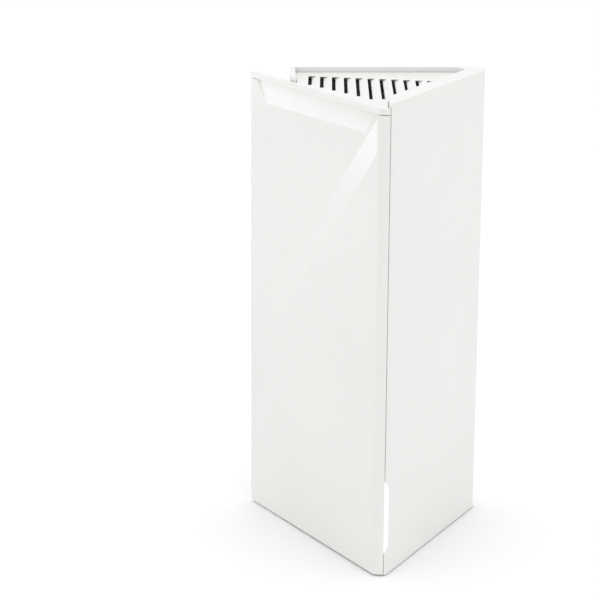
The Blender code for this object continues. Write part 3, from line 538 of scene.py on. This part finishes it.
SURFACES = {
    "white_plastic": white_plastic(),
    "grey_plastic": grey_plastic(),
    "lens_plastic": lens_plastic(),
    "board_laminate": board_laminate(),
    "black_plastic": black_plastic(),
    "steel": steel(),
    "aluminium": aluminium(),
    "rubber": rubber(),
    "pad_rubber": pad_rubber(),
    "label_film": label_film(),
    "contact_brass": contact_brass(),
}


def dress_frame():
    """Every CAD node gets the procedural material of its slot."""
    for part in frame["record"]["subparts"]:
        node = frame["nodes"][part["node"]]
        node.data.materials.clear()
        node.data.materials.append(SURFACES[part["material_slot"]])


def piece(obj, slot, nodes=(), body=BODY):
    """A visual piece: it rides on a body, takes a slot's finish and stands for CAD nodes."""
    obj.data.materials.clear()
    obj.data.materials.append(SURFACES[slot])
    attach(obj, body)
    if nodes:
        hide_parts(*nodes)
    return obj


# The left cover -------------------------------------------------------------------------------


def field_depth(along):
    return FIELD_DEPTH * max(0.0, (FACET_END - along) / (FACET_END - FACET_FRONT))


def between(along, front_value, end_value, front=FACET_FRONT, end=FACET_END):
    return front_value + (end_value - front_value) * (along - front) / (end - front)


def top_facet_lean(along):
    """How far the top facet leans in at the height FIELD_TOP."""
    run = (FIELD_TOP - TOP_FACET_BOTTOM) / FACET_SLOPE
    front, end = TOP_FACET_FRONT - run, TOP_FACET_END + run
    return between(along, TOP_FACET_FRONT_DEPTH, TOP_FACET_END_DEPTH, front, end)


def left_profile(along):
    """(height, depth) down one upright line of the left face, from the bottom to the top."""
    top = LEFT_HIGH.z
    field = field_depth(along)
    band_low = between(along, BAND_LOW_FRONT, BAND_LOW_END)
    band_high = between(along, FIELD_TOP, BAND_HIGH_END)
    outside = max(TOP_FACET_FRONT - along, along - TOP_FACET_END, 0)
    facet_low = min(TOP_FACET_BOTTOM + outside * FACET_SLOPE, top)
    rise = FIELD_TOP - TOP_FACET_BOTTOM
    profile = [(LEFT_LOW.z + EDGE, 0.0), (band_low, 0.0)]
    for share in spread(0, 1, 6)[1:]:
        height = band_low + (band_high - band_low) * share
        cut_off = min(1.0, (top - band_low) / max(height - band_low, SMALLEST))
        profile.append((min(height, top), field * share * cut_off))
    profile.append((facet_low, field))
    for share in spread(0, 1, 4):
        height = facet_low + (top - facet_low) * share
        lean = 0.0
        if facet_low < top:
            lean = top_facet_lean(along) * (height - TOP_FACET_BOTTOM) / rise
        if along > TOP_FACET_END:
            lean *= min(1.0, (height - facet_low) / FACET_END_SLOPE)
        profile.append((height, field + lean))
    return profile


def left_cover_shell():
    """The faceted wall as one closed shell, built from upright lines of points."""
    plain = [height for height, _ in left_profile(FACET_FRONT)]
    columns = []
    for angle in spread(SEAM_ANGLE, -CORNER_TURN, FINE_ARC_STEPS):
        outer = [(on_front(angle, 0), height) for height in plain]
        columns.append((outer, on_front(angle, WALL)))
    columns.append(([(on_left(FACET_FRONT, 0), height) for height in plain], on_left(FACET_FRONT, WALL)))
    tip_inner = Vector((-SIDE / 2 + WALL / INTO_LEFT.x, 0))
    backed = [(along, WALL + BACKING) for along in spread(FACET_FRONT, BACKING_END, 70)]
    thin = [(along, WALL) for along in spread(BACKING_END, FACET_END, 40)]
    for along, thickness in backed + thin:
        outer = [(on_left(along, depth), height) for height, depth in left_profile(along)]
        inside = on_left(along, thickness)
        columns.append((outer, inside if inside.y < 0 else tip_inner))
    tip = [(Vector((-SIDE / 2, 0)), height) for height, _ in left_profile(FACET_END)]
    columns.append((tip, tip_inner))
    return columns


def build_left_cover():
    shape = bmesh.new()
    bottom, top = LEFT_LOW.z, LEFT_HIGH.z
    outer, inner = [], []
    for points, inside in left_cover_shell():
        outer.append([shape.verts.new(world(point, height)) for point, height in points])
        inner.append([shape.verts.new(world(inside, bottom)), shape.verts.new(world(inside, top))])
    for first, second in zip(range(len(outer)), range(1, len(outer))):
        for row in range(len(outer[0]) - 1):
            shape.faces.new(
                (outer[first][row], outer[second][row], outer[second][row + 1], outer[first][row + 1])
            )
        shape.faces.new((inner[first][0], inner[first][1], inner[second][1], inner[second][0]))
        shape.faces.new((outer[first][0], inner[first][0], inner[second][0], outer[second][0]))
        shape.faces.new((outer[first][-1], outer[second][-1], inner[second][1], inner[first][1]))
    shape.faces.new(outer[0] + [inner[0][1], inner[0][0]])
    shape.faces.new(outer[-1] + [inner[-1][1], inner[-1][0]])
    bmesh.ops.remove_doubles(shape, verts=shape.verts, dist=0.002 * MM)
    bmesh.ops.dissolve_degenerate(shape, dist=0.001 * MM, edges=shape.edges)
    obj = new_object("left_cover_shell", shape)
    bevel = obj.modifiers.new("edges", "BEVEL")
    bevel.width = FINE_EDGE
    bevel.segments = 2
    bevel.limit_method = "ANGLE"
    bevel.angle_limit = math.radians(35)
    bevel.miter_outer = "MITER_ARC"
    bevel.use_clamp_overlap = True
    apply_modifiers(obj)
    obj.data.shade_smooth()
    obj.data.set_sharp_from_angle(angle=math.radians(1.2))
    return piece(obj, "white_plastic", ["left_cover"])


# The right cover ------------------------------------------------------------------------------


def right_wall_outline():
    seam = SEAM_ANGLE + SEAM_GAP
    meeting = WALL + GAP
    walls = rounded([
        (on_right(FRONT_TANGENT, 0), 0),
        (Vector((SIDE / 2, 0)), RIGHT_RADIUS),
        (Vector((SIDE_WALL_X, 0)), NOTCH_RADIUS),
        (left_at_x(SIDE_WALL_X, meeting), 0),
        (left_at_x(SIDE_WALL_X + WALL, meeting), 0),
        (Vector((SIDE_WALL_X + WALL, -WALL)), NOTCH_RADIUS - WALL),
        (right_at_y(-WALL, WALL), RIGHT_RADIUS - WALL),
        (on_right(FRONT_TANGENT, WALL), 0),
    ])
    return front_arc(seam, CORNER_TURN, 0) + walls[1:-1] + front_arc(CORNER_TURN, seam, WALL)


def rim_outline():
    overlap = WALL / 2
    back = -WALL - 0.1 * MM
    fillet_end = right_at_y(back, RIM_FLANGE).x - RECESS_RADIUS / math.tan(math.pi / 6) - GAP
    walls = rounded([
        (on_right(FRONT_TANGENT, overlap), 0),
        (right_at_y(-overlap, overlap), RIGHT_RADIUS - overlap),
        (Vector((fillet_end, -overlap)), 0),
        (Vector((fillet_end, back)), 0),
        (right_at_y(back, RIM_FLANGE), RECESS_RADIUS),
        (right_at_x(SEAM_X + GAP / 2, RIM_FLANGE), 0),
    ])
    return front_arc(SEAM_ANGLE + SEAM_GAP, CORNER_TURN, overlap) + walls[1:]


def lens_heights(angle, clearance):
    """Lower and upper edge of the lens at an angle round the front corner."""
    seam = SEAM_ANGLE + SEAM_GAP
    slope = LENS_TAPER / (LENS_END - seam) * (angle - seam)
    return LENS_LOW.z - clearance + slope, LENS_HIGH.z + clearance - slope


def lens_panel(name, start, end, clearance, outer, inner):
    """A curved panel of the lens's outline, between two depths."""
    rings = []
    for angle in spread(start, end, ARC_STEPS):
        low, high = lens_heights(angle, clearance)
        near, far = on_front(angle, outer), on_front(angle, inner)
        rings.append([world(near, low), world(near, high), world(far, high), world(far, low)])
    return lofted(name, rings)


def build_right_cover():
    cover = prism("right_cover_shell", right_wall_outline(), RIGHT_LOW.z, RIGHT_HIGH.z)
    rim = prism("rim", rim_outline(), RIGHT_HIGH.z - RIM_DEPTH, RIGHT_HIGH.z)
    combine(cover, [rim], "UNION")
    lip = 1.5 * MM
    window = box(
        "window",
        (BEZEL_LOW.x + lip - GAP, HIGH.y - 2 * WALL, BEZEL_LOW.z + lip - GAP),
        (BEZEL_HIGH.x - lip + GAP, HIGH.y + WALL, BEZEL_HIGH.z - lip + GAP),
    )
    seam = SEAM_ANGLE + SEAM_GAP
    opening = lens_panel(
        "opening", seam - LENS_WINDOW_REACH, LENS_END, GAP / 2, -WALL, FRONT_RADIUS - GAP
    )
    combine(cover, [window, opening], "DIFFERENCE")
    round_edges(cover, EDGE, 3)
    return piece(cover, "white_plastic", ["right_cover"])


def build_lens():
    seam = SEAM_ANGLE + SEAM_GAP
    lens = lens_panel("light_lens", seam, LENS_END, 0, 0.05 * MM, LENS_THICKNESS)
    round_edges(lens, FINE_EDGE)
    return piece(lens, "lens_plastic", ["light_pipe"])


def build_light_guide():
    """The guide from the lens to the lamp, as a tapered bar."""
    lamp_low, lamp_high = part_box("status_lamp")
    low, high = 22.3 * MM, 31.7 * MM
    front = [on_front(math.radians(angle), LENS_THICKNESS + GAP / 4) for angle in (25, 34)]
    middle = (lamp_low.x + lamp_high.x) / 2 - PLAN.x
    back_y = lamp_low.y - PLAN.y - 4 * MM
    half = 1.3 * MM
    outline = [front[0], front[1], Vector((middle + half, back_y)), Vector((middle - half, back_y))]
    guide = prism("light_guide", outline, low, high)
    round_edges(guide, FINE_EDGE)
    return piece(guide, "lens_plastic")


# The top plate --------------------------------------------------------------------------------


def slot_end(wall_point, along_wall, far):
    """Where a slot that starts at the wall point's x, at the height far, meets the wall."""
    turn = SLOT_TURN * along_wall.y / along_wall.x
    return (wall_point.y - turn * far) / (1 - turn)


def slot_tool(index):
    """The space between two slats: each slopes down on its left before it drops away."""
    left = SLOT_FIRST + index * SLOT_PITCH
    right = left + SLOT_PITCH - SLAT_TOP
    far = SLOT_FAR + SLOT_FAR_SLOPE * (left - SLOT_FIRST)
    left_wall = left_at_x(left, SLOT_MARGIN_LEFT + index * SLOT_MARGIN_GROWTH)
    right_wall = right_at_x((left + right) / 2, RIM_FLANGE + SLOT_MARGIN_RIGHT)
    near = max(slot_end(left_wall, ALONG_LEFT, far), slot_end(right_wall, ALONG_RIGHT, far))
    near = max(near, SLOT_NEAR)
    thickness = PLATE_HIGH.z - PLATE_LOW.z
    over = thickness / 2
    rings = []
    for depth, narrowed in ((3 * over, SLAT_LEAN), (SLAT_DROP, SLAT_LEAN), (0, 0), (-over, 0)):
        back = far + SLOT_UNDERCUT * max(depth, 0) / thickness
        corners = rounded_rectangle(left, right - narrowed, near, back, 0.5 * MM)
        ring = []
        for corner in corners:
            x = corner.x + SLOT_TURN * (corner.y - far)
            ring.append(world(Vector((x, corner.y)), PLATE_HIGH.z - depth))
        rings.append(ring)
    return lofted(f"slot_{index + 1}", rings)


def rounded_rectangle(left, right, near, far, radius, steps=5):
    corners = []
    quarter = math.pi / 2
    for x, y, start in (
        (right - radius, far - radius, 0),
        (left + radius, far - radius, quarter),
        (left + radius, near + radius, 2 * quarter),
        (right - radius, near + radius, 3 * quarter),
    ):
        for angle in spread(start, start + quarter, steps):
            corners.append(Vector((x + radius * math.cos(angle), y + radius * math.sin(angle))))
    return corners


def build_top_plate():
    side_x = SIDE_WALL_X + WALL + GAP
    back_y = -WALL - 0.1 * MM - GAP
    rim = RIM_FLANGE + GAP
    outline = front_arc(SEAM_ANGLE, -CORNER_TURN, 0) + rounded([
        (Vector((-SIDE / 2, 0)), 0),
        (Vector((-SIDE / 2 + WALL / INTO_LEFT.x, 0)), 0),
        (left_at_x(side_x, WALL), 0),
        (Vector((side_x, back_y)), NOTCH_RADIUS),
        (right_at_y(back_y, rim), RECESS_RADIUS),
        (right_at_x(SEAM_X, rim), 0),
        (on_front(SEAM_ANGLE, WALL + GAP), 0),
    ])
    plate = prism("louvred_top", outline, PLATE_LOW.z, PLATE_HIGH.z)
    combine(plate, [slot_tool(index) for index in range(SLOT_COUNT)], "DIFFERENCE")
    round_edges(plate, FINE_EDGE, 2)
    return piece(plate, "white_plastic", ["top_vent_plate"])


# Socket panel, sockets and buttons --------------------------------------------------------------


def middle_of(node):
    low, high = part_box(node)
    return (Vector(low) + Vector(high)) / 2


def through_wall(name, node):
    """A tool as wide and high as a CAD node with its gap, passing through the back wall."""
    low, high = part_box(node)
    return box(
        name,
        (low.x - GAP, HIGH.y - 3 * WALL, low.z - GAP),
        (high.x + GAP, HIGH.y + WALL, high.z + GAP),
    )


def bore(name, node, radius, low, high, mouth=0.0):
    """A round tool along y on a node's axis, widened at its outer end by a mouth."""
    middle = middle_of(node)
    profile = [(low, radius), (HIGH.y - mouth, radius), (high, radius + mouth + high - HIGH.y)]
    return turned(name, "y", profile, (middle.x, 0, middle.z))


def build_socket_panel():
    panel = box(
        "socket_panel",
        (BEZEL_LOW.x + PANEL_LIP, HIGH.y - PANEL_STEP - GAP, BEZEL_LOW.z + PANEL_LIP),
        (BEZEL_HIGH.x - PANEL_LIP, BEZEL_HIGH.y, BEZEL_HIGH.z - PANEL_LIP),
    )
    flange = box("flange", BEZEL_LOW, (BEZEL_HIGH.x, HIGH.y - PANEL_STEP, BEZEL_HIGH.z))
    combine(panel, [flange], "UNION")
    tools = [through_wall(f"{node}_window", node) for node in (*SOCKETS, "dc_jack")]
    pair_low, pair_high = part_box("pair_button")
    cap = (pair_high.x - pair_low.x) / 2 - COLLAR_REACH + GAP
    low, high = HIGH.y - 3 * WALL, HIGH.y + WALL
    tools.append(bore("pair_hole", "pair_button", cap, low, high))
    tools.append(bore("reset_hole", "reset_button", RESET_HOLE, low, high))
    combine(panel, tools, "DIFFERENCE")
    round_edges(panel, 0.22 * MM, 3)
    return piece(panel, "grey_plastic", ["io_bezel"])


def build_socket(node):
    """One network socket: a drawn steel shell, its moulded insert and eight spring contacts."""
    low, high = (Vector(corner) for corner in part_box(node))
    middle = (low + high) / 2
    inset = Vector((SHELL, SHELL, SHELL))
    shell = box(f"{node}_shell", low, high, edge=0.35 * MM, segments=3)
    hollow_high = Vector((high.x - SHELL, high.y + WALL, high.z - SHELL))
    combine(shell, [box("hollow", low + inset, hollow_high)], "DIFFERENCE")
    round_edges(shell, 0.1 * MM)
    piece(shell, "steel", [node])

    inset = inset + Vector((GAP, GAP, GAP))
    insert = box(f"{node}_body", low + inset, high - inset + Vector((0, SHELL, 0)))
    socket_x = low.x + SOCKET_RISE
    socket = box(
        "socket",
        (socket_x, high.y - SOCKET_DEPTH, middle.z - SOCKET_WIDTH / 2),
        (socket_x + SOCKET_HEIGHT, high.y + WALL, middle.z + SOCKET_WIDTH / 2),
    )
    latch = box(
        "latch",
        (socket_x + SOCKET_HEIGHT / 2, high.y - SOCKET_DEPTH / 2, middle.z - LATCH_WIDTH / 2),
        (socket_x + SOCKET_HEIGHT + LATCH_HEIGHT, high.y + WALL, middle.z + LATCH_WIDTH / 2),
    )
    combine(insert, [socket, latch], "DIFFERENCE")
    round_edges(insert, 0.18 * MM)
    piece(insert, "black_plastic", [f"{node}_insert"])

    for index in range(CONTACTS):
        z = middle.z + (index - (CONTACTS - 1) / 2) * CONTACT_PITCH
        spring_contact(f"{node}_contact_{index + 1}", socket_x, high.y, z)


def spring_contact(name, floor_x, mouth_y, z):
    """A thin strip that rises from the socket's floor near its mouth and leans inwards."""
    path = [
        (0.02 * MM, -2.2 * MM),
        (0.10 * MM, -3.0 * MM),
        (0.55 * MM, -3.9 * MM),
        (2.70 * MM, -9.2 * MM),
        (2.78 * MM, -9.9 * MM),
        (2.45 * MM, -10.6 * MM),
    ]
    rings = []
    for rise, back in path:
        ring = []
        for across, thick in ((-1, 0), (1, 0), (1, 1), (-1, 1)):
            x = floor_x + rise + thick * CONTACT_THICKNESS
            ring.append(Vector((x, mouth_y + back, z + across * CONTACT_WIDTH / 2)))
        rings.append(ring)
    contact = lofted(name, rings)
    round_edges(contact, 0.04 * MM)
    return piece(contact, "contact_brass")


def build_power_inlet():
    low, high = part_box("dc_jack")
    inlet = box("inlet_body", low, high, edge=0.3 * MM, segments=3)
    middle = middle_of("dc_jack")
    mouth = 0.5 * MM
    profile = [
        (high.y - INLET_DEPTH, INLET_BORE),
        (high.y - mouth, INLET_BORE),
        (high.y + mouth, INLET_BORE + 2 * mouth),
    ]
    tool = turned("inlet_bore", "y", profile, (middle.x, 0, middle.z), sides=64)
    combine(inlet, [tool], "DIFFERENCE")
    round_edges(inlet, 0.08 * MM)
    piece(inlet, "black_plastic", ["dc_jack"])

    low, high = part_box("dc_pin")
    radius = (high.x - low.x) / 2
    profile = [(low.y, radius)] + rounded_end(high.y, radius, 0.7 * radius)
    pin = turned("inlet_pin", "y", profile, (middle.x, 0, middle.z), sides=32)
    shade(pin, 40)
    piece(pin, "contact_brass", ["dc_pin"])


def rounded_end(height, radius, edge, steps=6):
    """Profile pairs round the edge of a turned part's end."""
    pairs = []
    for angle in spread(0, math.pi / 2, steps):
        pairs.append((height - edge + edge * math.sin(angle), radius - edge + edge * math.cos(angle)))
    return pairs


def build_button(node):
    """A cap with a rounded edge, its collar behind the panel and the stem to the switch."""
    low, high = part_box(node)
    middle = middle_of(node)
    collar = (high.x - low.x) / 2
    collar_face = HIGH.y - BUTTON_BACK
    profile = [(low.y, BUTTON_STEM), (collar_face - COLLAR_THICKNESS, BUTTON_STEM)]
    profile += [(collar_face - COLLAR_THICKNESS, collar)]
    profile += rounded_end(collar_face, collar, 0.15 * MM)
    cap = collar - COLLAR_REACH
    if high.y - collar_face > EDGE:
        profile += [(collar_face, cap)]
        profile += rounded_end(high.y, cap, 0.4 * MM)
        profile += [(high.y - 0.15 * MM, cap * 0.55), (high.y - 0.2 * MM, cap * 0.3)]
    obj = turned(f"{node}_cap", "y", profile, (middle.x, 0, middle.z), sides=64)
    shade(obj, 35)
    return piece(obj, "grey_plastic", [node], node)


# The base ---------------------------------------------------------------------------------------


def build_base():
    inner = WALL + GAP
    low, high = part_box("base_plate")
    corners = [
        (left_right_corner(inner, inner), FRONT_RADIUS - inner),
        (right_at_y(-inner, inner), RIGHT_RADIUS - WALL),
        (Vector((SIDE_WALL_X + WALL + GAP, -inner)), 0),
        (left_at_x(SIDE_WALL_X + WALL + GAP, inner), 0),
    ]
    base = prism("base_cover", rounded(corners), low.z, high.z)
    tools = []
    for index in range(BASE_SLOTS):
        x = BASE_SLOT_X + index * BASE_SLOT_PITCH
        left, right = x - BASE_SLOT_WIDTH / 2, x + BASE_SLOT_WIDTH / 2
        near, far = BASE_SLOT_Y - BASE_SLOT_LENGTH / 2, BASE_SLOT_Y + BASE_SLOT_LENGTH / 2
        outline = rounded_rectangle(left, right, near, far, 0.49 * BASE_SLOT_WIDTH)
        tools.append(prism(f"base_slot_{index + 1}", outline, 0, high.z + WALL))
    for node in BASE_SCREWS:
        screw_low, screw_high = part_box(node)
        middle = middle_of(node)
        head = (screw_high.x - screw_low.x) / 2 + GAP
        sunk = low.z + HEAD_SUNK * (high.z - low.z)
        profile = [(0, head), (sunk, head), (sunk, SCREW_HOLE), (high.z + WALL, SCREW_HOLE)]
        tools.append(turned(f"{node}_hole", "z", profile, (middle.x, middle.y, 0)))
    combine(base, tools, "DIFFERENCE")
    round_edges(base, 0.2 * MM, 2)
    return piece(base, "white_plastic", ["base_plate"])


def left_right_corner(left_depth, right_depth):
    """Where the line inside the left face crosses the line inside the right face."""
    x = (left_depth - right_depth) / (2 * INTO_LEFT.x)
    return Vector((x, left_depth + right_depth - DEPTH))


def build_foot(node):
    low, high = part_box(node)
    middle = middle_of(node)
    radius = (high.x - low.x) / 2
    edge = 0.3 * MM
    profile = [(-height + low.z + edge, width) for height, width in rounded_end(edge, radius, edge)]
    profile = profile[::-1] + [(high.z, radius)]
    foot = turned(f"{node}_pad", "z", profile, (middle.x, middle.y, 0), sides=64)
    shade(foot, 35)
    return piece(foot, "rubber", [node])


def build_base_screw(node):
    low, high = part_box(node)
    middle = middle_of(node)
    head = (high.x - low.x) / 2
    edge = 0.35 * MM
    profile = [(low.z + edge - height, width) for height, width in rounded_end(edge, head, edge)]
    profile = profile[::-1]
    profile += [(low.z + HEAD_THICKNESS, head), (low.z + HEAD_THICKNESS, SCREW_SHANK)]
    profile += [(high.z - edge, SCREW_SHANK), (high.z, SCREW_SHANK - edge)]
    screw = turned(f"{node}_body", "z", profile, (middle.x, middle.y, 0), sides=40)
    tools = []
    for reach in ((CROSS_REACH * head, CROSS_WIDTH / 2), (CROSS_WIDTH / 2, CROSS_REACH * head)):
        start = (middle.x - reach[0], middle.y - reach[1], low.z - CROSS_WIDTH)
        end = (middle.x + reach[0], middle.y + reach[1], low.z + CROSS_WIDTH)
        tools.append(box("cross", start, end))
    combine(screw, tools, "DIFFERENCE")
    shade(screw, 35)
    return piece(screw, "steel", [node])


def build_label():
    low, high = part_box("rating_label")
    left, near = low.x - PLAN.x, low.y - PLAN.y
    right, far = high.x - PLAN.x, high.y - PLAN.y
    label = prism("blank_label", rounded_rectangle(left, right, near, far, 1.2 * MM), low.z, high.z)
    round_edges(label, 0.04 * MM)
    return piece(label, "label_film", ["rating_label"])


# Build ----------------------------------------------------------------------------------------


def stage():
    """A pale flat floor, the soft white world round it and the colour settings."""
    shape = bmesh.new()
    bmesh.ops.create_grid(shape, x_segments=1, y_segments=1, size=6.0)
    floor = new_object("floor", shape)
    surface = Surface("floor_paint", (0.90, 0.905, 0.90), 0.6)
    surface.vary_roughness(surface.noise(4, 2.0), 0.55, 0.65)
    floor.data.materials.append(surface.material)
    backdrop = bpy.context.scene.world or bpy.data.worlds.new("world")
    bpy.context.scene.world = backdrop
    backdrop.use_nodes = True
    sky = backdrop.node_tree.nodes["Background"]
    sky.inputs["Color"].default_value = (1.0, 1.0, 0.995, 1.0)
    sky.inputs["Strength"].default_value = WORLD_STRENGTH
    scene = bpy.context.scene
    scene.view_settings.view_transform = "Standard"
    scene.view_settings.look = "None"
    scene.view_settings.exposure = 0.0


WORLD_STRENGTH = 0.93


def area_light(name, place, target, size, power):
    light = bpy.data.lights.new(name, "AREA")
    light.shape = "RECTANGLE"
    light.size, light.size_y = size
    light.energy = power
    obj = bpy.data.objects.new(name, light)
    bpy.context.scene.collection.objects.link(obj)
    obj.location = place
    obj.rotation_euler = (Vector(target) - Vector(place)).to_track_quat("-Z", "Y").to_euler()
    return obj


def lights():
    middle = (0, 0, HIGH.z / 2)
    area_light("top_light", (0.0, -0.1, 4.0), middle, (4.0, 4.0), 55)
    area_light("left_kicker", (-0.80, 0.43, 0.17), (0, 0, 0.17), (0.6, 0.20), 0.5)
    area_light("right_fill", (1.0, -0.5, 0.25), (0, 0, 0.08), (0.6, 0.5), 0.4)


def camera():
    lens = bpy.data.cameras.new("camera")
    lens.sensor_width = 36.0
    lens.lens = 125.54
    lens.clip_start = 0.05
    lens.clip_end = 20
    obj = bpy.data.objects.new("camera", lens)
    bpy.context.scene.collection.objects.link(obj)
    obj.location = (-55.94 * MM, -890.10 * MM, 365.12 * MM)
    heading, pitch, roll = (math.radians(angle) for angle in (-1.600, 15.836, 0.287))
    obj.rotation_euler = (
        Matrix.Rotation(heading, 4, "Z")
        @ Matrix.Rotation(math.pi / 2 - pitch, 4, "X")
        @ Matrix.Rotation(roll, 4, "Z")
    ).to_euler()
    bpy.context.scene.camera = obj


camera()
dress_frame()
build_left_cover()
build_right_cover()
build_lens()
build_light_guide()
build_top_plate()
build_socket_panel()
for socket_node in SOCKETS:
    build_socket(socket_node)
build_power_inlet()
build_button("pair_button")
build_button("reset_button")
build_base()
for foot_node in FEET:
    build_foot(foot_node)
for screw_node in BASE_SCREWS:
    build_base_screw(screw_node)
build_label()
stage()
lights()
